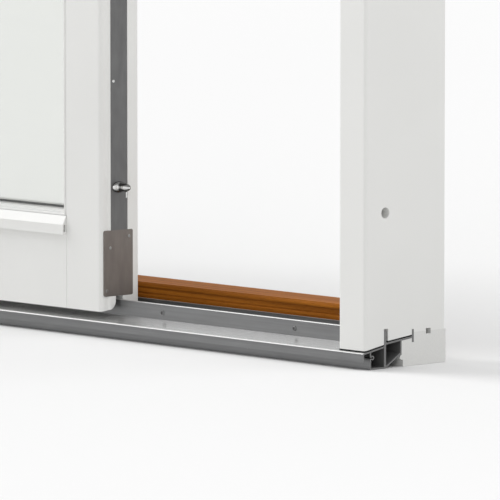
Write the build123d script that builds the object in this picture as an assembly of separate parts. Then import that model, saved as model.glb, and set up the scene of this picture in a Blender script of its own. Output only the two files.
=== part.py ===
from build123d import *
import os
from math import cos, hypot, radians, sqrt, tan

os.makedirs("parts", exist_ok=True)

# A two-leaf sliding patio door with a timber frame and an aluminium threshold.
# Millimetres. X runs along the door, -Y is outdoors, +Y is indoors, +Z is up.
# The origin is on the floor, at the middle of the width and of the overall depth.
# The sliding leaf runs in the outer plane and is modelled part open.

# Frame
FRAME_WIDTH = 2230.0
FRAME_HEIGHT = 2100.0
JAMB_THICK = 55.0
HEAD_THICK = 55.0
EDGE_ROUND = 5.0

# Leaves
LEAF_THICK = 74.0
LEAF_SETBACK = 6.0
LEAVES_APART = 8.0
STILE_WIDTH = 81.0
TOP_RAIL_HEIGHT = 81.0
LEAF_BOTTOM = 38.0
RAIL_LINE = 173.0
LEAF_ROUND = 7.5
LEAF_BACK_ROUND = 5.0
EDGE_STEP = 2.0
EDGE_STEP_WIDTH = 13.0
EDGE_STEP_SLOPE = 3.3
JOINT_WIDTH = 2.4
LEAF_OPEN = 516.0
LEAF_TOP_GAP = 8.0

# Glazing
PANE_THICK = 4.0
SPACER_THICK = 16.0
SPACER_WIDTH = 9.0
PANE_EDGE_GAP = 2.0
BEAD_WIDTH = 13.0
BEAD_SETBACK = 2.0
BEAD_FLAT = 6.0
BEAD_RISE = 3.5
BEAD_LIP = 3.0
BEAD_MITRE = 0.4
GASKET_SHOW = 1.4
GASKET_COVER = 6.0
GASKET_THICK = 3.0
GLASS_SETBACK = 22.0

# Threshold extrusion, heights above the floor
SILL_WALL = 2.2
SILL_LIP_OUT = 4.0
SILL_LIP_TOP = 24.5
SILL_LIP_HEIGHT = 12.0
SILL_LIP_ROUND = 2.0
SILL_FRONT_WALL = 10.0
SILL_FLOOR_SLOPE = 10.0
RAIL_CENTRE = 40.0
RAIL_THICK = 4.0
RAIL_TOP = 55.5
PORT_HEIGHT = 17.2
PORT_SETBACK = 5.1
PORT_OUTER = 3.3
PORT_INNER = 1.5
PORT_SLOT = 1.6
INNER_PLATE_START = 36.5
INNER_PLATE_SLOPE = 6.3
CHAMBER_BACK = 73.0
CHAMBER_BACK_FOOT = 20.0
TBAR_SETBACK = 94.0
TBAR_THICK = 3.5
TBAR_LOW = 34.0
TBAR_TOP = 52.5

# Threshold core and oak cover
CORE_SETBACK = 76.0
CORE_TOP = 48.5
CORE_ROUND = 3.0
CORE_EAR_OUT = 3.0
CORE_EAR_FOOT = 10.0
CORE_EAR_HEIGHT = 7.0
CORE_GROOVE_SETBACK = 122.0
CORE_GROOVE_WIDTH = 10.0
CORE_GROOVE_DEPTH = 4.5
JAMB_GROOVE_DEPTH = 3.5
OAK_TOP = 76.0
OAK_NOSE_ROUND = 4.5
OAK_STEP = 2.5
OAK_GROOVE = 1.8
OAK_GROOVE_HEIGHT = 11.0

# Leaf foot, with its nose in front of the rail, and the groove in the leaf's top
RAIL_CLEAR = 5.0
NOSE_FLAT = 16.5
NOSE_RISE = 2.4
NOSE_BELLY_OUT = 4.3
NOSE_BELLY_HEIGHT = 5.7
NOSE_BACK_HEIGHT = 17.0
LEAF_BACK_BOTTOM = 47.0
TOP_GROOVE_DEPTH = 24.0
GUIDE_THICK = 4.0
GUIDE_DROP = 22.0
GUIDE_FLANGE = 24.0
GUIDE_FLANGE_THICK = 2.0
SHOE_LENGTH = 80.0
SHOE_PLAY = 1.0
SHOE_ROOF = 5.0

# Lock strip, corner plates and locking pins
STRIP_WIDTH = 34.0
STRIP_THICK = 3.0
STRIP_BEVEL = 1.2
PLATE_WIDTH = 57.0
PLATE_THICK = 3.0
PLATE_HEIGHT = 99.0
PLATE_SHIFT = 1.2
PLATE_ROUND = 3.0
PIN_HEIGHT = 224.0
PIN_COUNT = 4
PIN_LENGTH = 26.0
PIN_BOSS_WIDTH = 27.0
PIN_BOSS_HEIGHT = 17.0
PIN_BOSS_RISE = 4.0
PIN_BOSS_TAPER = 30.0
PIN_HEAD = 6.2
PIN_HEAD_LENGTH = 17.0

# Drip bar
DRIP_OUT = 7.0
DRIP_TOP = 177.0
DRIP_NOSE = 164.0
DRIP_FOOT = 149.0
DRIP_WALL = 2.0
DRIP_HOLLOW = 11.0
DRIP_END_GAP = 0.5

# Rollers
WHEEL_RADIUS = 16.0
WHEEL_WIDTH = 9.0
WHEEL_FLANGE = 2.5
WHEEL_PLAY = 0.5
WHEEL_SPACING = 70.0
CARRIAGE_LENGTH = 130.0
CARRIAGE_WIDTH = 13.0
CARRIAGE_TOP = 98.0
CARRIAGE_WALL = 1.6
CARRIAGE_INSET = 150.0
AXLE_RADIUS = 3.0
AXLE_END_GAP = 0.1

# Handles
HANDLE_HEIGHT = 1050.0
HANDLE_PLATE_HEIGHT = 220.0
HANDLE_PLATE_WIDTH = 32.0
HANDLE_PLATE_THICK = 8.0
HANDLE_CHAMFER = 1.5
HANDLE_NECK = 8.0
HANDLE_REACH = 52.0
LEVER_LENGTH = 125.0
LEVER_WIDTH = 20.0
LEVER_THICK = 10.0
LEVER_RISE = 55.0
PULL_THICK = 2.0
PULL_HEIGHT = 150.0
PULL_WIDTH = 36.0
PULL_RIM = 5.0
PULL_DEPTH = 12.0
PULL_WALL = 1.5

# Clearances
SEAT_GAP = 0.3
JAMB_SILL_GAP = 2.5
RAIL_SLOT_BACK = 4.0
RAIL_SLOT_ABOVE = 1.3
BRUSH_GAP = 5.0
BRUSH_WIDTH = 8.0
BRUSH_END = 10.0

# Fixing holes
FIXING_RADIUS = 8.0

half_width = FRAME_WIDTH / 2
frame_depth = LEAF_SETBACK + 2 * LEAF_THICK + LEAVES_APART
front = SILL_LIP_OUT - (frame_depth + SILL_LIP_OUT) / 2
back = front + frame_depth
reveal = half_width - JAMB_THICK
head_under = FRAME_HEIGHT - HEAD_THICK

leaf_front = front + LEAF_SETBACK
leaf_back = leaf_front + LEAF_THICK
fixed_front = leaf_back + LEAVES_APART
leaf_width = reveal + STILE_WIDTH / 2 + BEAD_WIDTH / 2
leaf_right = reveal - LEAF_OPEN
leaf_left = leaf_right - leaf_width
leaf_top = head_under - LEAF_TOP_GAP
rail_under = leaf_top - TOP_RAIL_HEIGHT
glass_back = GLASS_SETBACK + 2 * PANE_THICK + SPACER_THICK

rail_y = front + RAIL_CENTRE
groove_half = RAIL_THICK / 2 + RAIL_CLEAR
groove_roof = RAIL_TOP + RAIL_CLEAR
groove_top = leaf_top - TOP_GROOVE_DEPTH
chamber_y = front + CHAMBER_BACK
bar_y = front + TBAR_SETBACK
oak_front = bar_y + TBAR_THICK + SEAT_GAP
plate_low = groove_roof
plate_high = groove_top - PLATE_HEIGHT
pin_heights = [
    PIN_HEIGHT + i * (FRAME_HEIGHT - 2 * PIN_HEIGHT) / (PIN_COUNT - 1) for i in range(PIN_COUNT)
]


def save(solid, name):
    """Write one sub-part to its own file."""
    solid.label = name
    export_step(solid, f"parts/{name}.step")


def block(x0, x1, y0, y1, z0, z1):
    """A box between two corners."""
    return Pos((x0 + x1) / 2, (y0 + y1) / 2, (z0 + z1) / 2) * Box(x1 - x0, y1 - y0, z1 - z0)


def along_x(section, x0, x1):
    """Extrude a section drawn in Y and Z from x0 to x1."""
    return extrude(Plane.YZ.offset(x0) * section, x1 - x0)


def outline(points):
    """A closed flat face through the points."""
    return make_face(Polyline(*points, close=True))


def strip(p, q, thick):
    """A flat wall from p to q, with its thickness on the right of that way."""
    length = hypot(q[0] - p[0], q[1] - p[1])
    away = ((q[1] - p[1]) / length * thick, -(q[0] - p[0]) / length * thick)
    return outline([p, q, (q[0] + away[0], q[1] + away[1]), (p[0] + away[0], p[1] + away[1])])


def rect(y0, y1, z0, z1):
    """A rectangle in the section plane."""
    return Pos((y0 + y1) / 2, (z0 + z1) / 2) * Rectangle(y1 - y0, z1 - z0)


def round_upright(solid, x, y, radius):
    """Round the upright edges of a post nearest to the given x and y."""
    edges = [
        e
        for e in solid.edges().filter_by(Axis.Z)
        if abs(e.center().X - x) < 0.5 and abs(e.center().Y - y) < 0.5
    ]
    return fillet(edges, radius)


def floor_plate_top(y):
    """Height of the sloping channel floor at a given depth."""
    return SILL_LIP_TOP + (y - (front - SILL_LIP_OUT)) * tan(radians(SILL_FLOOR_SLOPE))


def inner_plate_top(y):
    """Height of the sloping plate behind the rail at a given depth."""
    return INNER_PLATE_START + (y - (rail_y + RAIL_THICK / 2)) * tan(radians(INNER_PLATE_SLOPE))


def sill_profile():
    """The threshold extrusion: lip, channel floor, rail, screw port, two chambers and rear bar."""
    lip_y = front - SILL_LIP_OUT
    wall_y = front + SILL_FRONT_WALL
    rail_front = rail_y - RAIL_THICK / 2
    rail_back = rail_y + RAIL_THICK / 2
    port_y = wall_y + PORT_SETBACK
    section = strip((lip_y, SILL_LIP_TOP), (rail_y, floor_plate_top(rail_y)), SILL_WALL)
    section += rect(lip_y, lip_y + SILL_WALL, SILL_LIP_TOP - SILL_LIP_HEIGHT, SILL_LIP_TOP)
    section = fillet(section.vertices().group_by(Axis.X)[0].sort_by(Axis.Y)[-1], SILL_LIP_ROUND)
    section += rect(wall_y, wall_y + SILL_WALL, 0, floor_plate_top(wall_y) - SILL_WALL / 2)
    section += rect(wall_y, rail_back, 0, SILL_WALL)
    section += rect(rail_front, rail_back, 0, RAIL_TOP - RAIL_THICK / 2)
    section += Pos(rail_y, RAIL_TOP - RAIL_THICK / 2) * Circle(RAIL_THICK / 2)
    section += Pos(port_y, PORT_HEIGHT) * Circle(PORT_OUTER)
    section -= Pos(port_y, PORT_HEIGHT) * Circle(PORT_INNER)
    section -= rect(lip_y + SILL_WALL, port_y, PORT_HEIGHT - PORT_SLOT / 2, PORT_HEIGHT + PORT_SLOT / 2)
    section += strip((rail_y, inner_plate_top(rail_y)), (bar_y, inner_plate_top(bar_y)), SILL_WALL)
    section += rect(bar_y, bar_y + TBAR_THICK, TBAR_LOW, TBAR_TOP)
    rear_wall_top = inner_plate_top(chamber_y) - SILL_WALL / 2
    section += rect(chamber_y - SILL_WALL, chamber_y, CHAMBER_BACK_FOOT, rear_wall_top)
    slope_end = (chamber_y - SILL_WALL / 2, CHAMBER_BACK_FOOT + SILL_WALL / 2)
    section += strip((rail_y, SILL_WALL), slope_end, SILL_WALL)
    return along_x(section, -half_width, half_width)


def sill_core():
    """The insulating block behind the extrusion, seated on its rear wall, plate and bar."""
    foot_y = front + CORE_SETBACK
    core_front = chamber_y + SEAT_GAP
    groove_y = front + CORE_GROOVE_SETBACK
    over = 1.0
    section = rect(foot_y, back, 0, CORE_TOP)
    section = fillet(section.vertices().group_by(Axis.Y)[0].sort_by(Axis.X)[-1], CORE_ROUND)
    section += rect(core_front, foot_y + over, CORE_EAR_FOOT + CORE_EAR_HEIGHT / 2, CORE_TOP)
    ear = rect(core_front - CORE_EAR_OUT, foot_y + over, CORE_EAR_FOOT, CORE_EAR_FOOT + CORE_EAR_HEIGHT)
    section += fillet(ear.vertices().group_by(Axis.X)[0], CORE_ROUND)
    under = SILL_WALL / cos(radians(INNER_PLATE_SLOPE)) + SEAT_GAP
    section -= outline(
        [
            (core_front - over, inner_plate_top(core_front - over) - under),
            (bar_y, inner_plate_top(bar_y) - under),
            (bar_y, CORE_TOP + over),
            (core_front - over, CORE_TOP + over),
        ]
    )
    section -= rect(bar_y - SEAT_GAP, bar_y + TBAR_THICK + SEAT_GAP, TBAR_LOW - SEAT_GAP, CORE_TOP + over)
    section -= rect(groove_y, groove_y + CORE_GROOVE_WIDTH, CORE_TOP - CORE_GROOVE_DEPTH, CORE_TOP + over)
    return along_x(section, -half_width, half_width)


def jamb_foot():
    """What is cut from a jamb's foot so that it stands over the threshold."""
    groove_y = front + CORE_GROOVE_SETBACK
    slot_front = rail_y - RAIL_THICK / 2 - SEAT_GAP
    slot_back = rail_y + RAIL_THICK / 2 + RAIL_SLOT_BACK
    over = 1.0
    low = outline(
        [
            (front - over, -over),
            (back + over, -over),
            (back + over, CORE_TOP),
            (bar_y, CORE_TOP),
            (bar_y, inner_plate_top(bar_y) + JAMB_SILL_GAP),
            (slot_back, inner_plate_top(slot_back) + JAMB_SILL_GAP),
            (slot_front, floor_plate_top(slot_front) + JAMB_SILL_GAP),
            (front - over, floor_plate_top(front - over) + JAMB_SILL_GAP),
        ]
    )
    low += rect(slot_front, slot_back, 0, RAIL_TOP + RAIL_SLOT_ABOVE)
    low += rect(bar_y - SEAT_GAP, bar_y + TBAR_THICK + SEAT_GAP, 0, TBAR_TOP + SEAT_GAP)
    low += rect(groove_y, groove_y + CORE_GROOVE_WIDTH, 0, CORE_TOP + JAMB_GROOVE_DEPTH)
    return low


def jamb(side):
    """One jamb, with side +1 on the right and -1 on the left."""
    inner, outer = sorted((side * reveal, side * half_width))
    post = block(inner, outer, front, back, 0, FRAME_HEIGHT)
    for x in (inner, outer):
        for y in (front, back):
            post = round_upright(post, x, y, EDGE_ROUND)
    post -= along_x(jamb_foot(), inner - 1, outer + 1)
    for z in pin_heights:
        post -= Pos((inner + outer) / 2, rail_y, z) * Rot(0, 90, 0) * Cylinder(FIXING_RADIUS, JAMB_THICK + 2)
    return post


def head():
    """The head between the jambs, with its two lower edges rounded."""
    beam = block(-reveal, reveal, front, back, head_under, FRAME_HEIGHT)
    return fillet(beam.edges().filter_by(Axis.X).group_by(Axis.Z)[0], EDGE_ROUND)


def top_guide():
    """The guide rail under the head, a T with its web hanging into the leaf's groove."""
    web = GUIDE_THICK / 2
    flange = GUIDE_FLANGE / 2
    section = rect(rail_y - flange, rail_y + flange, head_under - GUIDE_FLANGE_THICK, head_under)
    section += rect(rail_y - web, rail_y + web, head_under - GUIDE_DROP, head_under)
    return along_x(section, -reveal, reveal)


def leaf_section():
    """The outline of the leaf's foot: curved nose, groove over the rail and shorter back."""
    groove_front = rail_y - groove_half
    groove_back = rail_y + groove_half
    nose_foot = (leaf_front + NOSE_FLAT, LEAF_BOTTOM + NOSE_RISE)
    nose_belly = (groove_front - NOSE_BELLY_OUT, LEAF_BOTTOM + NOSE_BELLY_HEIGHT)
    nose_back = (groove_front, LEAF_BOTTOM + NOSE_BACK_HEIGHT)
    body = Polyline(
        nose_foot,
        (leaf_front, LEAF_BOTTOM),
        (leaf_front, RAIL_LINE),
        (leaf_back, RAIL_LINE),
        (leaf_back, LEAF_BACK_BOTTOM),
        (groove_back, LEAF_BACK_BOTTOM),
        (groove_back, groove_roof),
        (groove_front, groove_roof),
        nose_back,
    )
    return make_face(Curve() + [body, ThreePointArc(nose_back, nose_belly, nose_foot)])


def carriage_x(side):
    """Middle of a roller carriage, with side +1 at the lock stile and -1 at the other."""
    return leaf_right - CARRIAGE_INSET if side > 0 else leaf_left + CARRIAGE_INSET


def roller_pockets():
    """The two deeper pockets in the leaf's groove that take the roller carriages."""
    reach = CARRIAGE_LENGTH / 2 + 1
    return [
        block(
            carriage_x(side) - reach,
            carriage_x(side) + reach,
            rail_y - groove_half,
            rail_y + groove_half,
            groove_roof - 1,
            CARRIAGE_TOP + SEAT_GAP,
        )
        for side in (-1, 1)
    ]


class Light:
    """One glazed leaf: the box of its members and of the sight opening between them."""

    def __init__(self, left, right, y_front, bottom, top):
        self.left = left
        self.right = right
        self.front = y_front
        self.back = y_front + LEAF_THICK
        self.bottom = bottom
        self.top = top
        self.x0 = left + STILE_WIDTH + BEAD_WIDTH
        self.x1 = right - STILE_WIDTH - BEAD_WIDTH
        self.z0 = RAIL_LINE + BEAD_WIDTH
        self.z1 = rail_under - BEAD_WIDTH

    def around(self, grow, y0, y1):
        """A box that is larger than the sight opening by grow on each side."""
        return block(self.x0 - grow, self.x1 + grow, y0, y1, self.z0 - grow, self.z1 + grow)

    def pane_outline(self, grow, y):
        """A flat rectangle round the sight opening, larger by grow on each side."""
        width = self.x1 - self.x0 + 2 * grow
        height = self.z1 - self.z0 + 2 * grow
        middle = ((self.x0 + self.x1) / 2, y, (self.z0 + self.z1) / 2)
        return Plane(middle, x_dir=(1, 0, 0), z_dir=(0, 1, 0)) * Rectangle(width, height)

    def ring(self, outer, inner, y0, y1):
        """A flat ring round the sight opening, from inner to outer beyond it."""
        return self.around(outer, y0, y1) - self.around(inner, y0 - 1, y1 + 1)

    def cut(self):
        """The sight opening and the glazing rebate that is open to the outside."""
        opening = self.around(0, self.front - 1, self.back + 1)
        return opening + self.around(BEAD_WIDTH, self.front - 1, self.front + glass_back + GASKET_THICK)

    def stile_zone(self, side):
        """The space of one stile, with the ledge that it carries behind the glass."""
        if side > 0:
            zone = block(self.right - STILE_WIDTH, self.right, self.front, self.back, 0, FRAME_HEIGHT)
            return zone + block(self.x1, self.right - STILE_WIDTH, self.front, self.back, self.z0, self.z1)
        zone = block(self.left, self.left + STILE_WIDTH, self.front, self.back, 0, FRAME_HEIGHT)
        return zone + block(self.left + STILE_WIDTH, self.x0, self.front, self.back, self.z0, self.z1)

    def rail_zone(self, z0, z1):
        """The space of one rail between the stiles."""
        return block(self.left + STILE_WIDTH, self.right - STILE_WIDTH, self.front, self.back, z0, z1)

    def joint_lines(self):
        """The V-grooves along the stiles, on both faces, where the rails and beads meet them."""
        side = JOINT_WIDTH / sqrt(2)
        groove = Rot(0, 0, 45) * Box(side, side, FRAME_HEIGHT)
        return [
            Pos(x, y, FRAME_HEIGHT / 2) * groove
            for x in (self.left + STILE_WIDTH, self.right - STILE_WIDTH)
            for y in (self.front, self.back)
        ]

    def panes(self):
        """The outer and the inner pane of the sealed unit."""
        edge = BEAD_WIDTH - PANE_EDGE_GAP
        y0 = self.front + GLASS_SETBACK
        y1 = y0 + PANE_THICK + SPACER_THICK
        return self.around(edge, y0, y0 + PANE_THICK), self.around(edge, y1, y1 + PANE_THICK)

    def spacer(self):
        """The bar that holds the two panes apart."""
        edge = BEAD_WIDTH - PANE_EDGE_GAP
        y0 = self.front + GLASS_SETBACK + PANE_THICK
        return self.ring(edge, edge - SPACER_WIDTH, y0, y0 + SPACER_THICK)

    def gasket(self):
        """The dark strips on both sides of the glass, under the beads and on the ledge."""
        y0 = self.front + GLASS_SETBACK - GASKET_THICK
        y1 = self.front + glass_back
        outer = self.ring(GASKET_COVER, 0, y0, y0 + GASKET_THICK)
        inner = self.ring(GASKET_COVER, -1, y1, y1 + GASKET_THICK)
        return Compound(children=[outer, inner])

    def beads(self):
        """The glazing beads: a flat front, a slope up to an upright lip at the glass, mitred corners."""
        y0 = self.front + BEAD_SETBACK
        y1 = self.front + GLASS_SETBACK - GASKET_THICK - BEAD_LIP
        flat = BEAD_WIDTH - BEAD_FLAT
        slope = loft([self.pane_outline(flat, y0), self.pane_outline(flat - BEAD_RISE, y1)])
        ring = self.ring(BEAD_WIDTH, GASKET_SHOW, y0, y1 + BEAD_LIP) - slope
        for x, turn in ((self.x0, 1), (self.x1, -1)):
            for z, flip in ((self.z0, 1), (self.z1, -1)):
                slit = Box(6 * BEAD_WIDTH, 6 * BEAD_WIDTH, BEAD_MITRE)
                ring -= Pos(x, y0, z) * Rot(0, -45 * turn * flip, 0) * slit
        return ring


sliding = Light(leaf_left, leaf_right, leaf_front, LEAF_BOTTOM, leaf_top)
fixed = Light(-reveal, -reveal + leaf_width, fixed_front, TBAR_TOP, head_under)


def sliding_members():
    """The sliding leaf's two stiles and two rails, with the grooves for rail and guide."""
    whole = along_x(leaf_section(), sliding.left, sliding.right)
    for pocket in roller_pockets():
        whole -= pocket
    whole += block(sliding.left, sliding.right, sliding.front, sliding.back, RAIL_LINE, sliding.top)
    whole -= block(
        sliding.left - 1,
        sliding.right + 1,
        rail_y - groove_half,
        rail_y + groove_half,
        groove_top,
        sliding.top + 1,
    )
    whole -= [sliding.cut()] + sliding.joint_lines()
    lock_stile = stepped_edge(whole & sliding.stile_zone(1)) - strip_recess() - pull_cup(0)
    meeting_stile = whole & sliding.stile_zone(-1)
    for y in (sliding.front, sliding.back):
        meeting_stile = round_upright(meeting_stile, sliding.left, y, LEAF_BACK_ROUND)
    return [
        ("leaf_lock_stile", lock_stile),
        ("leaf_meeting_stile", meeting_stile),
        ("leaf_bottom_rail", whole & sliding.rail_zone(0, sliding.z0)),
        ("leaf_top_rail", whole & sliding.rail_zone(sliding.z1, FRAME_HEIGHT)),
    ]


def stepped_edge(stile):
    """The lock stile's edge: a rounded corner, a flat and a slope up to the strip."""
    step_x = leaf_right - EDGE_STEP
    slope_y = leaf_front + EDGE_STEP_WIDTH
    over = 1.0
    step = outline(
        [
            (step_x, leaf_front - over),
            (step_x, slope_y),
            (leaf_right, slope_y + EDGE_STEP_SLOPE),
            (leaf_right + over, slope_y + EDGE_STEP_SLOPE),
            (leaf_right + over, leaf_front - over),
        ]
    )
    stile -= extrude(step, FRAME_HEIGHT)
    stile = round_upright(stile, step_x, leaf_front, LEAF_ROUND)
    return round_upright(stile, leaf_right, leaf_back, LEAF_BACK_ROUND)


def fixed_members():
    """The fixed light's two stiles and two rails."""
    whole = block(fixed.left, fixed.right, fixed.front, fixed.back, fixed.bottom, fixed.top)
    whole -= [fixed.cut()] + fixed.joint_lines()
    return [
        ("fixed_wall_stile", whole & fixed.stile_zone(-1)),
        ("fixed_meeting_stile", whole & fixed.stile_zone(1)),
        ("fixed_bottom_rail", whole & fixed.rail_zone(0, fixed.z0)),
        ("fixed_top_rail", whole & fixed.rail_zone(fixed.z1, FRAME_HEIGHT)),
    ]


def strip_recess():
    """The recesses in the lock stile's edge for the lock strip and the corner plates."""
    recess = block(
        leaf_right - STRIP_THICK,
        leaf_right + 1,
        rail_y - STRIP_WIDTH / 2,
        rail_y + STRIP_WIDTH / 2,
        plate_low,
        plate_high,
    )
    return recess + corner_plate(plate_low) + corner_plate(plate_high)


def corner_plate(z0):
    """A corner plate, flush in the stile's edge, with its four corners rounded."""
    y0 = rail_y - PLATE_WIDTH / 2 - PLATE_SHIFT
    plate = block(leaf_right - PLATE_THICK, leaf_right, y0, y0 + PLATE_WIDTH, z0, z0 + PLATE_HEIGHT)
    return fillet(plate.edges().filter_by(Axis.X), PLATE_ROUND)


def lock_strip():
    """The steel strip between the two corner plates, with its long edges bevelled."""
    strip_body = block(
        leaf_right - STRIP_THICK,
        leaf_right,
        rail_y - STRIP_WIDTH / 2,
        rail_y + STRIP_WIDTH / 2,
        plate_low + PLATE_HEIGHT,
        plate_high,
    )
    return chamfer(strip_body.edges().filter_by(Axis.Z).group_by(Axis.X)[-1], STRIP_BEVEL)


def locking_pin(z):
    """One locking pin: an oblong tapered boss, a turned head and its conical tip."""
    boss = extrude(
        SlotOverall(PIN_BOSS_WIDTH, PIN_BOSS_HEIGHT, rotation=90), PIN_BOSS_RISE, taper=PIN_BOSS_TAPER
    )
    profile = Polyline((0, 0), (PIN_HEAD, 0), (PIN_HEAD, PIN_HEAD_LENGTH), (0, PIN_LENGTH), close=True)
    turned = revolve(make_face(Plane.XZ * profile), Axis.Z)
    return Pos(leaf_right, rail_y, z) * Rot(0, 90, 0) * (boss + turned)


def drip_bar():
    """The weather bar across the leaf's foot: sloped top, upright front and a hollow at the face."""
    out = leaf_front - DRIP_OUT
    section = outline([(leaf_front, DRIP_TOP), (out, DRIP_NOSE), (out, DRIP_FOOT), (leaf_front, DRIP_FOOT)])
    section -= rect(out + DRIP_WALL, leaf_front - DRIP_WALL, DRIP_NOSE - DRIP_HOLLOW, DRIP_NOSE)
    left = sliding.left + STILE_WIDTH + DRIP_END_GAP
    right = sliding.right - STILE_WIDTH - DRIP_END_GAP
    return along_x(section, left, right)


def oak_sill():
    """The oak cover over the core in the doorway: bullnose, set-back band and a groove."""
    band_y = oak_front + OAK_STEP
    section = rect(band_y, back, CORE_TOP, OAK_TOP)
    section += Pos(oak_front + OAK_NOSE_ROUND, OAK_TOP - OAK_NOSE_ROUND) * Circle(OAK_NOSE_ROUND)
    section -= Pos(band_y, CORE_TOP + OAK_GROOVE_HEIGHT) * Circle(OAK_GROOVE)
    return along_x(section, fixed.right + SEAT_GAP, reveal - SEAT_GAP)


def fixed_base():
    """The timber strip that carries the fixed light on the core."""
    return block(-reveal, fixed.right, oak_front, back, CORE_TOP, TBAR_TOP)


def roller_carriage(side):
    """A steel housing with two grooved wheels on stub axles, which stand on the rail."""
    x = carriage_x(side)
    y0, y1 = rail_y - CARRIAGE_WIDTH / 2, rail_y + CARRIAGE_WIDTH / 2
    x0, x1 = x - CARRIAGE_LENGTH / 2, x + CARRIAGE_LENGTH / 2
    wall = CARRIAGE_WALL
    low = RAIL_TOP + WHEEL_RADIUS / 2
    shell = block(x0, x1, y0, y1, low, CARRIAGE_TOP)
    shell -= block(x0 - 1, x1 + 1, y0 + wall, y1 - wall, low - 1, CARRIAGE_TOP - wall)
    centre_z = RAIL_TOP + SEAT_GAP + WHEEL_RADIUS
    groove_width = RAIL_THICK + 2 * WHEEL_PLAY
    axle_gap = WHEEL_WIDTH + 2 * AXLE_END_GAP
    wheels = []
    for dx in (-WHEEL_SPACING / 2, WHEEL_SPACING / 2):
        place = Pos(x + dx, rail_y, centre_z) * Rot(90, 0, 0)
        shell += place * (Cylinder(AXLE_RADIUS, CARRIAGE_WIDTH) - Cylinder(AXLE_RADIUS + 1, axle_gap))
        wheel = Cylinder(WHEEL_RADIUS + WHEEL_FLANGE, WHEEL_WIDTH)
        outside = Cylinder(WHEEL_RADIUS + 2 * WHEEL_FLANGE, groove_width)
        wheel -= outside - Cylinder(WHEEL_RADIUS, groove_width)
        wheels.append(place * wheel)
    return shell, Compound(children=wheels)


def guide_shoe(side):
    """A nylon block in the leaf's top groove that straddles the guide rail."""
    x = carriage_x(side)
    half = SHOE_LENGTH / 2
    slot = GUIDE_THICK / 2 + SHOE_PLAY
    body = block(x - half, x + half, rail_y - groove_half, rail_y + groove_half, groove_top, leaf_top)
    body -= block(
        x - half - 1,
        x + half + 1,
        rail_y - slot,
        rail_y + slot,
        head_under - GUIDE_DROP - SHOE_ROOF,
        leaf_top + 1,
    )
    return body


def inside_handle():
    """A plain flat lever on a long plate, on the lock stile's inner face, with its lever down."""
    x = leaf_right - STILE_WIDTH / 2
    plate_y = leaf_back + HANDLE_PLATE_THICK
    reach_y = leaf_back + HANDLE_REACH
    neck_z = HANDLE_HEIGHT + LEVER_RISE
    plate = block(
        x - HANDLE_PLATE_WIDTH / 2,
        x + HANDLE_PLATE_WIDTH / 2,
        leaf_back,
        plate_y,
        HANDLE_HEIGHT - HANDLE_PLATE_HEIGHT / 2,
        HANDLE_HEIGHT + HANDLE_PLATE_HEIGHT / 2,
    )
    plate = fillet(plate.edges().filter_by(Axis.Y), HANDLE_PLATE_WIDTH / 2 - 1)
    plate = chamfer(plate.faces().sort_by(Axis.Y)[-1].edges(), HANDLE_CHAMFER)
    neck = Pos(x, (leaf_back + reach_y) / 2, neck_z) * Rot(90, 0, 0) * Cylinder(HANDLE_NECK, HANDLE_REACH)
    lever = block(
        x - LEVER_WIDTH / 2,
        x + LEVER_WIDTH / 2,
        reach_y - LEVER_THICK / 2,
        reach_y + LEVER_THICK / 2,
        neck_z - LEVER_LENGTH,
        neck_z + LEVER_WIDTH / 2,
    )
    return plate + neck + fillet(lever.edges().filter_by(Axis.Y), LEVER_WIDTH / 2 - 1)


def pull_cup(wall):
    """The space of the flush pull's cup, smaller by wall on each side."""
    x = leaf_right - STILE_WIDTH / 2
    half_x = PULL_WIDTH / 2 - PULL_RIM - wall
    half_z = PULL_HEIGHT / 2 - PULL_RIM - wall
    return block(
        x - half_x,
        x + half_x,
        leaf_front - PULL_THICK - 1,
        leaf_front + PULL_DEPTH - wall,
        HANDLE_HEIGHT - half_z,
        HANDLE_HEIGHT + half_z,
    )


def outside_pull():
    """A flush pull let into the lock stile's outer face."""
    x = leaf_right - STILE_WIDTH / 2
    z0, z1 = HANDLE_HEIGHT - PULL_HEIGHT / 2, HANDLE_HEIGHT + PULL_HEIGHT / 2
    rim = block(x - PULL_WIDTH / 2, x + PULL_WIDTH / 2, leaf_front - PULL_THICK, leaf_front, z0, z1)
    rim = fillet(rim.edges().filter_by(Axis.Y), PULL_RIM - 1)
    shell = pull_cup(0) & block(x - PULL_WIDTH, x + PULL_WIDTH, leaf_front, leaf_back, z0, z1)
    return rim + shell - pull_cup(PULL_WALL)


def meeting_brush():
    """The pile strip on the fixed light's meeting stile, against the sliding leaf."""
    x = fixed.right - STILE_WIDTH / 2
    half = BRUSH_WIDTH / 2
    return block(x - half, x + half, leaf_back + BRUSH_GAP, fixed.front, TBAR_TOP + BRUSH_END, rail_under)


def build():
    save(sill_profile(), "sill_profile")
    save(sill_core(), "sill_core")
    save(oak_sill(), "oak_sill")
    save(fixed_base(), "fixed_base")
    save(jamb(1), "jamb_right")
    save(jamb(-1), "jamb_left")
    save(head(), "head")
    save(top_guide(), "top_guide")
    for name, member in sliding_members() + fixed_members():
        save(member, name)
    for light, prefix in ((sliding, "leaf"), (fixed, "fixed")):
        outer, inner = light.panes()
        save(outer, f"{prefix}_glass_outer")
        save(inner, f"{prefix}_glass_inner")
        save(light.spacer(), f"{prefix}_glass_spacer")
        save(light.gasket(), f"{prefix}_gasket")
        save(light.beads(), f"{prefix}_beads")
    save(drip_bar(), "drip_bar")
    save(lock_strip(), "lock_strip")
    save(corner_plate(plate_low), "corner_plate_bottom")
    save(corner_plate(plate_high), "corner_plate_top")
    for i, z in enumerate(pin_heights, 1):
        save(locking_pin(z), f"locking_pin_{i}")
    for side, name in ((1, "lock"), (-1, "meeting")):
        housing, wheels = roller_carriage(side)
        save(housing, f"roller_housing_{name}")
        save(wheels, f"roller_wheels_{name}")
        save(guide_shoe(side), f"guide_shoe_{name}")
    save(inside_handle(), "inside_handle")
    save(outside_pull(), "outside_pull")
    save(meeting_brush(), "meeting_brush")


build()
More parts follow.
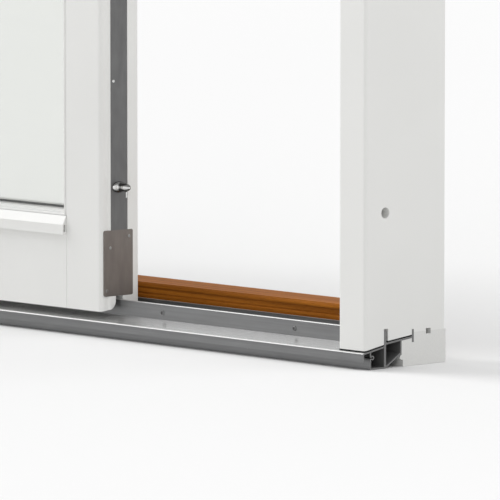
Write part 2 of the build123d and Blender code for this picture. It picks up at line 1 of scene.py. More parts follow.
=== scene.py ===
from math import cos, pi, radians, sin

import bmesh
import bpy
from mathutils import Matrix, Vector


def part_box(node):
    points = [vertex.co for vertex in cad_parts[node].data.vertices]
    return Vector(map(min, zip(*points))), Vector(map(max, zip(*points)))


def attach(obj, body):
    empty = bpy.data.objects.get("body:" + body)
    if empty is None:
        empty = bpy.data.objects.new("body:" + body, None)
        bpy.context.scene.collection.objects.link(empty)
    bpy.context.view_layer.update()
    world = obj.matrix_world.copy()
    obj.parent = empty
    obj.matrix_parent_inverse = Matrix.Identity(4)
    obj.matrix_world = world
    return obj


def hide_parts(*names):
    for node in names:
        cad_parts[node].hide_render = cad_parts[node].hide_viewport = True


# A two-leaf sliding patio door, dressed and lit. Metres, with +Z up and -Y outdoors.
# Real sizes of a detail are given in millimetres and multiplied by MM.
MM = 0.001

# Camera
CAMERA_PLACE = (7.4818, -6.2408, 1.0562)
CAMERA_TURN = 47.0
CAMERA_DIP = 5.6906
CAMERA_LENS = 449.4
SENSOR_WIDTH = 36.0
CLIP_NEAR = 0.1
CLIP_FAR = 400.0

# Light. A lamp has a name, the direction it stands in, its strength, and its angle in degrees.
SKY_ON_OBJECT = 0.65
LAMPS = (
    ("key_left", (-0.85, 0.0, 0.53), 0.3, 30.0),
    ("key_front_left", (-0.72, -0.28, 0.63), 1.1, 30.0),
    ("fill_top", (0.0, 0.0, 1.0), 0.4, 60.0),
    ("fill_right_back", (0.6, 0.6, 0.5), 0.33, 40.0),
    ("spark_right_front", (0.63, -0.72, 0.28), 0.12, 9.0),
)
FLOOR_SIZE = 120.0
FLOOR_DROP = 0.2 * MM
FLOOR_TONE = "#E6E6E5"
FLOOR_SHOWN = 0.875

# Rail screws, as distances along the rail from the middle of the door, on the rail's front face
SCREW_PLACES = (0.0, 321.25 * MM, 642.5 * MM, 928.0 * MM)
SCREW_ABOVE_FLOOR = 42.5 * MM
RAIL_SCREW_RADIUS = 4.0 * MM
RAIL_SCREW_HEIGHT = 1.4 * MM
RAIL_HALF_THICK = 2.0 * MM

# Screws in the edge strip, by depth and height above a pin, and in the lower corner plate, by
# depth and height. The upper plate's screws mirror them in the door's height.
EDGE_SCREW_RADIUS = 2.6 * MM
EDGE_SCREW_HEIGHT = 0.5 * MM
STRIP_SCREW_DEPTH = -50.0 * MM
STRIP_SCREW_ABOVE_PIN = 159.0 * MM
PLATE_SCREWS = ((-56.6 * MM, 133.0 * MM), (-19.2 * MM, 148.8 * MM), (-63.6 * MM, 69.0 * MM))
DOOR_HEIGHT = 2100.0 * MM

# A screw's head, as shares of its radius and of its height
SOCKET_RADIUS = 0.42
SOCKET_NOTCH = 0.72
SOCKET_DEPTH = 0.6
CROWN_RADIUS = 0.75
RIM_HEIGHT = 0.3
RIM_SUNK = 0.1
SOCKET_POINTS = 12

# Locking pins: distance from the strip, and half width and half height there
PIN_RINGS = (
    (0.0, 13.5, 8.5),
    (0.8, 13.4, 8.4),
    (1.6, 13.0, 8.1),
    (2.4, 12.2, 7.6),
    (3.1, 11.0, 7.0),
    (3.7, 9.4, 6.5),
    (4.2, 7.7, 6.2),
    (4.8, 6.8, 6.1),
    (6.0, 6.4, 6.1),
    (9.0, 6.2, 6.1),
    (15.5, 6.2, 6.2),
    (17.5, 5.9, 5.9),
    (19.5, 5.2, 5.2),
    (21.5, 4.1, 4.1),
    (23.3, 2.8, 2.8),
    (24.7, 1.6, 1.6),
    (25.6, 0.7, 0.7),
    (26.0, 0.2, 0.2),
)
PIN_SEGMENTS = 40
PIN_COUNT = 4

# Release tabs in the edge strip, under the pins
TAB_DEPTH = -24.5 * MM
TAB_BELOW_PIN = 13.0 * MM
TAB_SIZE = (1.2 * MM, 2.6 * MM, 9.0 * MM)
TAB_ROUND = 0.5 * MM

# Half-round nosing on the glazing beads: its place from the beads' outer edge and from their
# front, and its own width, height and rounding
NOSING_INSET = 2.9 * MM
NOSING_BACK = 0.8 * MM
NOSING_WIDTH = 4.6 * MM
NOSING_HEIGHT = 2.3 * MM
NOSING_ROUND = 2.2 * MM

# Seals between a jamb's foot and the threshold's two sloping plates, as depth and height of the
# plate's top at both ends. Their black fills the gap under the foot, a painted shadow.
SEAL_LINES = (((-78.0, 25.4), (-41.8, 31.8)), ((-32.6, 37.0), (14.4, 42.2)))
SEAL_LIFT = 0.1 * MM
SEAL_THICK = 2.2 * MM
SEAL_INSET = 0.8 * MM
SEAL_ROUND = 0.3 * MM
JAMB_INNER, JAMB_OUTER = 1060.0 * MM, 1115.0 * MM

# A noise's values lie mostly between these
MIDDLE = (0.3, 0.7)

# Regions of the threshold's finish: how far a face looks up before it is painted paler as a
# painted highlight, how far in from the two ends a face still counts as sawn, the chambers by
# depth with the height and slope of their roof, and the trough in front of the rail
PAINTED_LIGHT_FACING = (0.35, 0.8)
SAWN_ZONE = 0.05 * MM
CHAMBER_MIDDLE, CHAMBER_HALF = -37.5 * MM, 30.4 * MM
CHAMBER_ROOF, ROOF_SLOPE = 37.3 * MM, 0.2
TROUGH_MIDDLE, TROUGH_HALF = -60.5 * MM, 19.0 * MM

# How far a pin's face looks up or down before it takes the painted shade
PAINTED_SHADE_FACING = (0.2, 0.5)

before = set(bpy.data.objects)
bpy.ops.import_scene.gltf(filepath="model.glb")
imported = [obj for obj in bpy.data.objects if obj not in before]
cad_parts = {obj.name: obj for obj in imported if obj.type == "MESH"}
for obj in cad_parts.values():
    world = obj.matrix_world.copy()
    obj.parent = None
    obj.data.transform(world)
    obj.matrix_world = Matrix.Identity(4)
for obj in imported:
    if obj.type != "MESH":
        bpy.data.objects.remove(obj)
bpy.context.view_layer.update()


def linear(code):
    """The linear colour of an sRGB hex code."""
    parts = [int(code[i:i + 2], 16) / 255 for i in (1, 3, 5)]
    return (*[c / 12.92 if c <= 0.04045 else ((c + 0.055) / 1.055) ** 2.4 for c in parts], 1.0)


def node(tree, kind, inputs=(), **settings):
    """Add a shader node with its settings, and fill or link its inputs. They come by name, or in
    the order in which the node shows them. A node among them is linked from its first output,
    and a hex code is made linear."""
    made = tree.nodes.new("ShaderNode" + kind)
    for name, value in settings.items():
        setattr(made, name, value)
    if isinstance(inputs, dict):
        sockets = [made.inputs[name] for name in inputs]
        values = inputs.values()
    else:
        sockets = [socket for socket in made.inputs if socket.enabled]
        values = inputs
    for socket, value in zip(sockets, values):
        if isinstance(value, bpy.types.Node):
            value = next(output for output in value.outputs if output.enabled)
        if isinstance(value, bpy.types.NodeSocket):
            tree.links.new(value, socket)
        else:
            socket.default_value = linear(value) if isinstance(value, str) else value
    return made


def new_material(name):
    """An empty node material and its tree."""
    material = bpy.data.materials.new(name)
    material.use_nodes = True
    material.node_tree.nodes.clear()
    return material, material.node_tree


def pattern(tree, size_mm, detail=4.0, roughness=0.55):
    """Noise in object space whose features measure size_mm along X, Y and Z."""
    place = node(tree, "TexCoord").outputs["Object"]
    mapped = node(tree, "Mapping", {"Vector": place, "Scale": [1 / (s * MM) for s in size_mm]})
    noise = {"Vector": mapped, "Scale": 1.0, "Detail": detail, "Roughness": roughness}
    return node(tree, "TexNoise", noise)


def grained(name, size_mm, detail, colours, rough, depth_mm, more):
    """A finish with one fine pattern, which varies its colour and roughness and raises its
    surface by depth_mm. What else the shader is given stands in more."""
    material, tree = new_material(name)
    grain = pattern(tree, size_mm, detail)
    shade = node(tree, "MapRange", (grain, *MIDDLE))
    shader = node(
        tree,
        "BsdfPrincipled",
        {
            "Base Color": node(tree, "Mix", (shade, *colours), data_type="RGBA"),
            "Roughness": node(tree, "MapRange", (grain, *MIDDLE, *rough)),
            "Normal": node(tree, "Bump", {"Height": grain, "Distance": depth_mm * MM}),
            **more,
        },
    )
    node(tree, "OutputMaterial", [shader])
    return material


def sprayed_paint(name, along):
    """White satin paint, sprayed on planed timber. The film hides the colour of the wood,
    so the eye gets an even white with a soft sheen, a faint orange peel and, in raking light,
    the slightest run of the grain along the member."""
    material, tree = new_material(name)
    run, across = 180.0, 2.5
    grain = pattern(tree, [run if axis == along else across for axis in "XYZ"], detail=3.0)
    peel = pattern(tree, (1.6, 1.6, 1.6), detail=2.0)
    cloud = node(tree, "MapRange", (pattern(tree, (240, 240, 240), detail=2.0), *MIDDLE))
    wood = node(tree, "Bump", {"Height": grain, "Distance": 0.02 * MM})
    shader = node(
        tree,
        "BsdfPrincipled",
        {
            "Base Color": node(tree, "Mix", (cloud, "#EAEAE8", "#EEEEEC"), data_type="RGBA"),
            "Roughness": node(tree, "MapRange", (peel, *MIDDLE, 0.40, 0.48)),
            "IOR": 1.48,
            "Normal": node(
                tree, "Bump", {"Height": peel, "Distance": 0.006 * MM, "Normal": wood}
            ),
        },
    )
    node(tree, "OutputMaterial", [shader])
    return material


def anodised_aluminium():
    """Natural anodised aluminium, as it leaves the extrusion die. The die draws fine lines along
    the bar, which streak its sheen. The upward faces are painted paler and less metallic, a
    painted highlight for the light from above. The trough in front of the rail is painted near
    white on its upward faces, also a painted highlight, and is smooth enough to mirror what
    stands above it. The saw leaves the two ends matt, and the insides of the chambers stay dull."""
    material, tree = new_material("anodised_extruded_aluminium")
    lines = pattern(tree, (900, 0.7, 0.7), detail=5.0, roughness=0.7)
    bands = pattern(tree, (600, 6, 6), detail=3.0)
    clouds = pattern(tree, (60, 9, 9), detail=4.0)
    both = node(tree, "Math", (lines, bands), operation="ADD")
    streak = node(tree, "MapRange", (both, 0.7, 1.3))
    blotch = node(tree, "MapRange", (clouds, *MIDDLE, 0, 0.3))

    place = node(tree, "TexCoord").outputs
    axes = node(tree, "SeparateXYZ", [place["Object"]]).outputs
    facing = node(tree, "SeparateXYZ", [place["Normal"]]).outputs
    reach = node(tree, "Math", [axes["X"]], operation="ABSOLUTE")
    sawn = node(tree, "Math", (reach, JAMB_OUTER - SAWN_ZONE), operation="GREATER_THAN")
    # Faces that look up are painted paler and less metallic, a painted highlight for the light
    # from above
    painted_upward_light = node(tree, "MapRange", (facing["Z"], *PAINTED_LIGHT_FACING))
    between = node(tree, "Math", (axes["Y"], CHAMBER_MIDDLE, CHAMBER_HALF), operation="COMPARE")
    level = node(tree, "Math", (axes["Y"], -ROOF_SLOPE, axes["Z"]), operation="MULTIPLY_ADD")
    under = node(tree, "Math", (level, CHAMBER_ROOF), operation="LESS_THAN")
    inside = node(tree, "Math", (between, under), operation="MULTIPLY")
    before = node(tree, "Math", (axes["Y"], TROUGH_MIDDLE, TROUGH_HALF), operation="COMPARE")
    trough = node(tree, "Math", (before, painted_upward_light), operation="MULTIPLY")

    drawn = node(tree, "Mix", (streak, "#7A7A7B", "#898A8A"), data_type="RGBA")
    mottled = node(tree, "Mix", (blotch, drawn, "#6E6E6F"), data_type="RGBA")
    # The pale grey for upward faces is a painted highlight
    painted_light_pale = node(tree, "Mix", (streak, "#C4C4C3", "#D2D2D1"), data_type="RGBA")
    colour = node(tree, "Mix", (painted_upward_light, mottled, painted_light_pale), data_type="RGBA")
    sheen = node(tree, "MapRange", (streak, 0, 1, 0.30, 0.42))
    rough = node(tree, "Mix", (painted_upward_light, sheen, 0.5))
    metal = node(tree, "Mix", (painted_upward_light, 1.0, 0.55))
    for region, its_colour, its_rough, its_metal in (
        # The trough's upward faces are painted near white, a painted highlight; their low
        # roughness mirrors what stands above them
        (trough, "#F6F6F5", 0.2, 0.76),
        (inside, "#626262", 0.7, 0.2),
        (sawn, "#808080", 0.55, 1.0),
    ):
        colour = node(tree, "Mix", (region, colour, its_colour), data_type="RGBA")
        rough = node(tree, "Mix", (region, rough, its_rough))
        metal = node(tree, "Mix", (region, metal, its_metal))
    shader = node(
        tree,
        "BsdfPrincipled",
        {
            "Base Color": colour,
            "Metallic": metal,
            "Roughness": rough,
            "Normal": node(tree, "Bump", {"Height": lines, "Distance": 0.012 * MM}),
        },
    )
    node(tree, "OutputMaterial", [shader])
    return material


def oiled_oak():
    """Oak, planed, moulded and oiled. Long darker bands of summer growth run along the board,
    broken by short open pores, and the oil leaves a low warm sheen."""
    material, tree = new_material("oiled_oak")
    bands = pattern(tree, (420, 7, 7), detail=3.0, roughness=0.5)
    fibres = pattern(tree, (60, 1.1, 1.1), detail=4.0, roughness=0.65)
    pores = pattern(tree, (14, 0.8, 0.8), detail=2.0)
    growth = node(tree, "MapRange", (bands, 0.36, 0.64))
    strands = node(tree, "MapRange", (fibres, *MIDDLE, 0, 0.35))
    open_pores = node(tree, "MapRange", (pores, 0.60, 0.72, 0, 0.6))
    board = node(tree, "Mix", (growth, "#B46E22", "#905416"), data_type="RGBA")
    shaded = node(tree, "Mix", (strands, board, "#6C3A10"), data_type="RGBA")
    shader = node(
        tree,
        "BsdfPrincipled",
        {
            "Base Color": node(tree, "Mix", (open_pores, shaded, "#4A280E"), data_type="RGBA"),
            "Roughness": node(tree, "MapRange", (fibres, *MIDDLE, 0.52, 0.66)),
            "IOR": 1.47,
            "Specular IOR Level": 0.06,
            "Normal": node(tree, "Bump", {"Height": fibres, "Distance": 0.05 * MM}),
        },
    )
    node(tree, "OutputMaterial", [shader])
    return material


def brushed_steel(name, colours, rough):
    """Stainless strip steel, brushed along its length, which is upright on the door's edge.
    It gives a dark even grey with fine upright lines, duller where the brush was coarser."""
    material, tree = new_material(name)
    lines = pattern(tree, (0.35, 0.35, 60), detail=4.0, roughness=0.6)
    clouds = pattern(tree, (14, 14, 40), detail=2.0)
    both = node(tree, "Math", (lines, clouds), operation="ADD")
    shade = node(tree, "MapRange", (both, 0.8, 1.2))
    shader = node(
        tree,
        "BsdfPrincipled",
        {
            "Base Color": node(tree, "Mix", (shade, *colours), data_type="RGBA"),
            "Metallic": 0.9,
            "Roughness": node(tree, "MapRange", (lines, *MIDDLE, *rough)),
            "Normal": node(tree, "Bump", {"Height": lines, "Distance": 0.004 * MM}),
        },
    )
    node(tree, "OutputMaterial", [shader])
    return material


def turned_steel():
    """Steel, turned and polished, with fine rings left by the tool. Faces that look up or down are
    painted dark, a painted shade, and the crown that looks sideways is painted bright, a painted
    highlight."""
    material, tree = new_material("turned_polished_steel")
    rings = pattern(tree, (0.5, 40, 40), detail=2.0)
    facing = node(tree, "SeparateXYZ", [node(tree, "TexCoord").outputs["Normal"]]).outputs
    upright = node(tree, "Math", [facing["Z"]], operation="ABSOLUTE")
    painted_shade_mask = node(tree, "MapRange", (upright, *PAINTED_SHADE_FACING))
    shader = node(
        tree,
        "BsdfPrincipled",
        {
            # Faces looking up or down are painted dark as shade, and the sideways crown is painted
            # bright as a highlight
            "Base Color": node(tree, "Mix", (painted_shade_mask, "#DADAD9", "#646463"), data_type="RGBA"),
            "Metallic": 1.0,
            "Roughness": node(tree, "MapRange", (rings, *MIDDLE, 0.13, 0.19)),
            "Normal": node(tree, "Bump", {"Height": rings, "Distance": 0.003 * MM}),
        },
    )
    node(tree, "OutputMaterial", [shader])
    return material


def float_glass():
    """Clear float glass. It is almost colourless, with the pale green that iron gives it, and
    its faces are flat but for a long slight wave."""
    material, tree = new_material("clear_float_glass")
    wave = pattern(tree, (400, 400, 400), detail=1.0)
    shader = node(
        tree,
        "BsdfPrincipled",
        {
            "Base Color": "#F4F5F3",
            "Roughness": 0.0,
            "IOR": 1.52,
            "Transmission Weight": 1.0,
            "Normal": node(tree, "Bump", {"Height": wave, "Distance": 0.05 * MM}),
        },
    )
    node(tree, "OutputMaterial", [shader])
    return material


def woven_pile():
    """Grey polypropylene pile, woven in a narrow backing. Upright tufts catch the light
    unevenly."""
    material, tree = new_material("woven_pile")
    tufts = pattern(tree, (0.5, 3.0, 0.5), detail=3.0)
    shade = node(tree, "MapRange", (tufts, *MIDDLE))
    shader = node(
        tree,
        "BsdfPrincipled",
        {
            "Base Color": node(tree, "Mix", (shade, "#3C3C3B", "#6B6B69"), data_type="RGBA"),
            "Roughness": 0.9,
            "Sheen Weight": 0.3,
            "Normal": node(tree, "Bump", {"Height": tufts, "Distance": 0.3 * MM}),
        },
    )
    node(tree, "OutputMaterial", [shader])
    return material


def polymer(name, grain_mm, colours, rough):
    """A moulded or extruded polymer with a fine even grain."""
    size = (grain_mm, grain_mm, grain_mm)
    return grained(name, size, 2.0, colours, rough, depth_mm=0.01, more={"IOR": 1.5})


paint_upright = sprayed_paint("sprayed_paint_on_upright_timber", "Z")
paint_level = sprayed_paint("sprayed_paint_on_level_timber", "X")
aluminium = anodised_aluminium()
oak = oiled_oak()
strip_steel = brushed_steel("brushed_stainless_strip", ("#686868", "#727272"), (0.38, 0.48))
# The plate's faint warm tint is a painted reflection of the oak sill
plate_steel = brushed_steel("satin_stainless_plate", ("#7A7470", "#857F7A"), (0.52, 0.62))
pin_steel = turned_steel()
glass = float_glass()
pile = woven_pile()

# White polyester powder coat on extruded aluminium. It is baked on, so it looks a little harder
# and glossier than the sprayed timber, with a fine even pebbling.
powder = polymer("powder_coated_aluminium", 0.9, ("#EAEAE8", "#EEEEEC"), (0.30, 0.38))

# White insulating block of hard foam, matt and slightly pebbled from its mould
core = grained(
    "moulded_rigid_foam",
    size_mm=(2.2, 2.2, 2.2),
    detail=3.0,
    colours=("#E0E0DE", "#E5E5E3"),
    rough=(0.60, 0.72),
    depth_mm=0.03,
    more={"IOR": 1.45},
)

# Cast stainless steel for the handles, ground and satined. It is finer and paler than the strip.
handle_steel = grained(
    "satin_ground_stainless",
    size_mm=(0.4, 0.4, 30),
    detail=3.0,
    colours=("#8E8E8C", "#9A9A98"),
    rough=(0.28, 0.38),
    depth_mm=0.004,
    more={"Metallic": 1.0},
)

# Extruded grey rubber between glass and bead, matt, and a smoother pale bar inside the glass unit
gasket_rubber = polymer("extruded_grey_rubber", 1.2, ("#BCBCBA", "#C6C6C4"), (0.6, 0.7))
spacer_bar = polymer("pale_spacer_bar", 1.0, ("#E6E6E4", "#ECECEA"), (0.4, 0.5))

# Cellular black rubber, deep and dull, and moulded black nylon with a slight gloss
# The black rubber serves the seals that fill the gap under the jambs' feet, a painted shadow
seal_rubber = polymer("cellular_black_rubber", 1.5, ("#121212", "#1C1C1C"), (0.8, 0.9))
nylon = polymer("moulded_black_nylon", 0.8, ("#1E1E1E", "#282828"), (0.42, 0.52))

FINISHES = {
    "sill_profile": aluminium,
    "top_guide": aluminium,
    "sill_core": core,
    "oak_sill": oak,
    "fixed_base": paint_level,
    "jamb_right": paint_upright,
    "jamb_left": paint_upright,
    "head": paint_level,
    "leaf_lock_stile": paint_upright,
    "leaf_meeting_stile": paint_upright,
    "leaf_bottom_rail": paint_level,
    "leaf_top_rail": paint_level,
    "fixed_wall_stile": paint_upright,
    "fixed_meeting_stile": paint_upright,
    "fixed_bottom_rail": paint_level,
    "fixed_top_rail": paint_level,
    "drip_bar": powder,
    "lock_strip": strip_steel,
    "corner_plate_bottom": plate_steel,
    "corner_plate_top": plate_steel,
    "inside_handle": handle_steel,
    "outside_pull": handle_steel,
    "meeting_brush": pile,
}
for prefix in ("leaf", "fixed"):
    FINISHES[prefix + "_glass_outer"] = glass
    FINISHES[prefix + "_glass_inner"] = glass
    FINISHES[prefix + "_glass_spacer"] = spacer_bar
    FINISHES[prefix + "_gasket"] = gasket_rubber
    FINISHES[prefix + "_beads"] = paint_upright
for place in ("lock", "meeting"):
    FINISHES["roller_housing_" + place] = strip_steel
    FINISHES["roller_wheels_" + place] = nylon
    FINISHES["guide_shoe_" + place] = nylon
for number in range(1, PIN_COUNT + 1):
    FINISHES[f"locking_pin_{number}"] = pin_steel

for name, finish in FINISHES.items():
    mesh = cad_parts[name].data
    mesh.materials.clear()
    mesh.materials.append(finish)


def new_piece(name, shape, finish, body):
    """Turn a bmesh into a piece that rides on a body."""
    mesh = bpy.data.meshes.new(name)
    bmesh.ops.recalc_face_normals(shape, faces=shape.faces)
    shape.to_mesh(mesh)
    shape.free()
    mesh.materials.append(finish)
    piece = bpy.data.objects.new(name, mesh)
    bpy.context.scene.collection.objects.link(piece)
    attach(piece, body)
    return piece


def of_kind(geom, kind):
    """The vertices, edges or faces among mixed geometry."""
    return [g for g in geom if isinstance(g, kind)]


def grow_ring(shape, edges):
    """Extrude a closed line of edges, and return the new vertices and edges."""
    grown = bmesh.ops.extrude_edge_only(shape, edges=edges)["geom"]
    return of_kind(grown, bmesh.types.BMVert), of_kind(grown, bmesh.types.BMEdge)


def grow_face(shape, faces):
    """Extrude a region of faces, and return the new vertices and faces."""
    grown = bmesh.ops.extrude_face_region(shape, geom=faces)["geom"]
    return of_kind(grown, bmesh.types.BMVert), of_kind(grown, bmesh.types.BMFace)


def round_over(shape, edges, offset, segments):
    """Round edges of a bmesh."""
    bmesh.ops.bevel(
        shape,
        geom=list(edges),
        offset=offset,
        segments=segments,
        profile=0.5,
        affect="EDGES",
        material=-1,
    )


def screw_head(shape, place, facing, radius, height):
    """A low domed head with a six-point star socket, on a surface that faces the given way."""
    socket = SOCKET_RADIUS * radius
    disc = bmesh.ops.create_circle(shape, segments=SOCKET_POINTS, radius=socket, cap_ends=True)
    verts = disc["verts"]
    bmesh.ops.scale(shape, vec=(SOCKET_NOTCH, SOCKET_NOTCH, 1), verts=verts[::2])
    bmesh.ops.translate(shape, vec=(0, 0, height), verts=verts)
    star = verts[0].link_faces[0]
    made = list(verts)
    edges = list(star.edges)
    for reach, level in (
        (CROWN_RADIUS * radius, height),
        (radius, RIM_HEIGHT * height),
        (radius, -RIM_SUNK * height),
    ):
        ring, edges = grow_ring(shape, edges)
        for v in ring:
            flat = Vector((v.co.x, v.co.y, 0)).normalized() * reach
            v.co = (flat.x, flat.y, level)
        made += ring
    bmesh.ops.edgeloop_fill(shape, edges=edges)
    sunk = bmesh.ops.extrude_discrete_faces(shape, faces=[star])["faces"][0]
    bmesh.ops.translate(shape, vec=(0, 0, -SOCKET_DEPTH * height), verts=sunk.verts)
    made += list(sunk.verts)
    turn = Vector(facing).to_track_quat("Z", "Y").to_matrix().to_4x4()
    bmesh.ops.transform(shape, matrix=Matrix.Translation(place) @ turn, verts=list(set(made)))


def pin_middle(number):
    """Where a locking pin leaves the edge strip, on its axis."""
    low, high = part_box(f"locking_pin_{number}")
    return Vector((low.x, (low.y + high.y) / 2, (low.z + high.z) / 2))


def rail_screws():
    """Screws along the front of the threshold's rail, which stands under the edge strip."""
    low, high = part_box("lock_strip")
    face = (low.y + high.y) / 2 - RAIL_HALF_THICK
    shape = bmesh.new()
    for reach in SCREW_PLACES:
        for side in ((-1, 1) if reach else (1,)):
            place = (side * reach, face, SCREW_ABOVE_FLOOR)
            screw_head(shape, place, (0, -1, 0), RAIL_SCREW_RADIUS, RAIL_SCREW_HEIGHT)
    return new_piece("rail_screws", shape, strip_steel, "frame")


def edge_screws():
    """Low screws in the leaf's edge strip, one above each pin but the last."""
    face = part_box("lock_strip")[1].x
    shape = bmesh.new()
    for number in range(1, PIN_COUNT):
        place = (face, STRIP_SCREW_DEPTH, pin_middle(number).z + STRIP_SCREW_ABOVE_PIN)
        screw_head(shape, place, (1, 0, 0), EDGE_SCREW_RADIUS, EDGE_SCREW_HEIGHT)
    return new_piece("strip_screws", shape, pin_steel, "sliding_leaf")


def plate_screws():
    """Three screws in each corner plate, with the upper plate's places mirrored."""
    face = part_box("corner_plate_bottom")[1].x
    shape = bmesh.new()
    for depth, height in PLATE_SCREWS:
        for level in (height, DOOR_HEIGHT - height):
            place = (face, depth, level)
            screw_head(shape, place, (1, 0, 0), EDGE_SCREW_RADIUS, EDGE_SCREW_HEIGHT)
    return new_piece("plate_screws", shape, handle_steel, "sliding_leaf")


def pin_bodies():
    """The locking pins: an oblong foot that runs smoothly into a round head with a blunt point."""
    z_to_x = Matrix(((0, 0, 1, 0), (1, 0, 0, 0), (0, 1, 0, 0), (0, 0, 0, 1)))
    for number in range(1, PIN_COUNT + 1):
        shape = bmesh.new()
        disc = bmesh.ops.create_circle(shape, segments=PIN_SEGMENTS, radius=MM, cap_ends=True)
        ring = disc["verts"]
        edges = list(shape.edges)
        was_out, was_wide, was_high = 0.0, 1.0, 1.0
        for step, (out, wide, high) in enumerate(PIN_RINGS):
            if step:
                ring, edges = grow_ring(shape, edges)
            bmesh.ops.scale(shape, vec=(wide / was_wide, high / was_high, 1), verts=ring)
            bmesh.ops.translate(shape, vec=(0, 0, (out - was_out) * MM), verts=ring)
            was_out, was_wide, was_high = out, wide, high
        bmesh.ops.edgeloop_fill(shape, edges=edges)
        for face in shape.faces:
            face.smooth = True
        place = Matrix.Translation(pin_middle(number))
        bmesh.ops.transform(shape, matrix=place @ z_to_x, verts=shape.verts)
        piece = new_piece(f"pin_body_{number}", shape, pin_steel, "sliding_leaf")
        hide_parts(f"locking_pin_{number}")


def release_tabs():
    """A small rounded tab in the strip under each pin."""
    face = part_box("lock_strip")[1].x
    shape = bmesh.new()
    for number in range(1, PIN_COUNT + 1):
        made = bmesh.ops.create_cube(shape, size=1.0)["verts"]
        bmesh.ops.scale(shape, vec=TAB_SIZE, verts=made)
        height = pin_middle(number).z - TAB_BELOW_PIN
        bmesh.ops.translate(shape, vec=(face, TAB_DEPTH, height), verts=made)
    round_over(shape, shape.edges, TAB_ROUND, segments=3)
    return new_piece("release_tabs", shape, pin_steel, "sliding_leaf")


def bead_nosing(beads, body):
    """A half-round that runs round the beads of a light, mitred at the corners."""
    low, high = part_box(beads)
    wide = high.x - low.x - 2 * NOSING_INSET
    tall = high.z - low.z - 2 * NOSING_INSET
    middle = ((low.x + high.x) / 2, low.y + NOSING_BACK, (low.z + high.z) / 2)
    upright = Matrix.Rotation(pi / 2, 3, "X")
    shape = bmesh.new()
    bmesh.ops.create_grid(shape, x_segments=1, y_segments=1, size=0.5)
    bmesh.ops.scale(shape, vec=(wide, tall, 1), verts=shape.verts)
    bmesh.ops.rotate(shape, cent=(0, 0, 0), matrix=upright, verts=shape.verts)
    bmesh.ops.translate(shape, vec=middle, verts=shape.verts)
    rim = bmesh.ops.inset_region(
        shape,
        faces=list(shape.faces),
        thickness=NOSING_WIDTH,
        use_boundary=True,
        use_even_offset=True,
    )["faces"]
    bmesh.ops.delete(shape, geom=[f for f in shape.faces if f not in rim], context="FACES")
    verts, crown = grow_face(shape, rim)
    bmesh.ops.translate(shape, vec=(0, -NOSING_HEIGHT, 0), verts=verts)
    rims = {e for f in crown for e in f.edges if sum(g in crown for g in e.link_faces) == 1}
    round_over(shape, rims, NOSING_ROUND, segments=5)
    for face in shape.faces:
        face.smooth = True
    return new_piece(beads + "_nosing", shape, paint_upright, body)


def jamb_foot_shadow_seals():
    """Black rubber under each jamb's foot, on the threshold's two sloping plates. It fills the gap
    there with black, a painted shadow.
    """
    shape = bmesh.new()
    near, far = JAMB_INNER + SEAL_INSET, JAMB_OUTER - SEAL_INSET
    for side in (-1, 1):
        for (y0, z0), (y1, z1) in SEAL_LINES:
            corners = (
                (y0 * MM, z0 * MM + SEAL_LIFT),
                (y1 * MM, z1 * MM + SEAL_LIFT),
                (y1 * MM, z1 * MM + SEAL_THICK),
                (y0 * MM, z0 * MM + SEAL_THICK),
            )
            end = shape.faces.new([shape.verts.new((side * near, y, z)) for y, z in corners])
            moved, _ = grow_face(shape, [end])
            bmesh.ops.translate(shape, vec=(side * (far - near), 0, 0), verts=moved)
    round_over(shape, shape.edges, SEAL_ROUND, segments=2)
    return new_piece("jamb_foot_shadow_seals", shape, seal_rubber, "frame")


rail_screws()
edge_screws()
plate_screws()
pin_bodies()
release_tabs()
bead_nosing("leaf_beads", "sliding_leaf")
bead_nosing("fixed_beads", "frame")
jamb_foot_shadow_seals()


def shown_rays(tree):
    """One for rays that show the background: from the camera, in a reflection or through glass."""
    rays = node(tree, "LightPath").outputs
    seen = (rays["Is Camera Ray"], rays["Is Glossy Ray"])
    direct = node(tree, "Math", seen, operation="MAXIMUM")
    return node(tree, "Math", (direct, rays["Is Transmission Ray"]), operation="MAXIMUM")


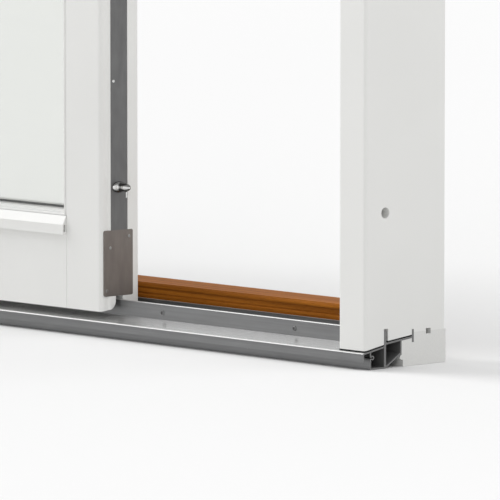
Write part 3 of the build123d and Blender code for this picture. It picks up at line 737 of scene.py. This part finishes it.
def studio_floor():
    """A wide pale floor that keeps the door's soft shadow and is white where nothing shades it."""
    shape = bmesh.new()
    bmesh.ops.create_grid(shape, x_segments=1, y_segments=1, size=FLOOR_SIZE / 2)
    bmesh.ops.translate(shape, vec=(0, 0, -FLOOR_DROP), verts=shape.verts)
    mesh = bpy.data.meshes.new("studio_floor")
    shape.to_mesh(mesh)
    shape.free()
    material, tree = new_material("studio_floor")
    lit = node(tree, "BsdfDiffuse", {"Color": FLOOR_TONE})
    shown = node(tree, "BsdfDiffuse", {"Color": (FLOOR_SHOWN, FLOOR_SHOWN, FLOOR_SHOWN, 1.0)})
    mixed = node(tree, "MixShader", (shown_rays(tree), lit, shown))
    node(tree, "OutputMaterial", [mixed])
    mesh.materials.append(material)
    floor = bpy.data.objects.new("studio_floor", mesh)
    bpy.context.scene.collection.objects.link(floor)


def studio_world():
    """An even sky for the object, and plain white wherever it is seen."""
    world = bpy.data.worlds.new("studio")
    world.use_nodes = True
    tree = world.node_tree
    tree.nodes.clear()
    sky = node(tree, "Background", {"Color": (1, 1, 1, 1), "Strength": SKY_ON_OBJECT})
    white = node(tree, "Background", {"Color": (1, 1, 1, 1), "Strength": 1.0})
    mixed = node(tree, "MixShader", (shown_rays(tree), sky, white))
    node(tree, "OutputWorld", [mixed])
    bpy.context.scene.world = world


def soft_sun(name, toward, strength, angle):
    """A wide soft lamp without falloff, that stands in the given direction."""
    data = bpy.data.lights.new(name, "SUN")
    data.energy = strength
    data.angle = radians(angle)
    lamp = bpy.data.objects.new(name, data)
    lamp.rotation_mode = "QUATERNION"
    lamp.rotation_quaternion = Vector(toward).to_track_quat("Z", "Y")
    bpy.context.scene.collection.objects.link(lamp)


def studio_camera():
    """The camera, with its turn and dip in degrees."""
    turn, dip = radians(CAMERA_TURN), radians(CAMERA_DIP)
    ahead = Vector((-sin(turn) * cos(dip), cos(turn) * cos(dip), -sin(dip)))
    data = bpy.data.cameras.new("camera")
    data.lens = CAMERA_LENS
    data.sensor_width = SENSOR_WIDTH
    data.clip_start = CLIP_NEAR
    data.clip_end = CLIP_FAR
    camera = bpy.data.objects.new("camera", data)
    camera.location = CAMERA_PLACE
    camera.rotation_mode = "QUATERNION"
    camera.rotation_quaternion = ahead.to_track_quat("-Z", "Y")
    bpy.context.scene.collection.objects.link(camera)
    bpy.context.scene.camera = camera


studio_floor()
studio_world()
for lamp in LAMPS:
    soft_sun(*lamp)
studio_camera()
bpy.context.scene.view_settings.view_transform = "Standard"
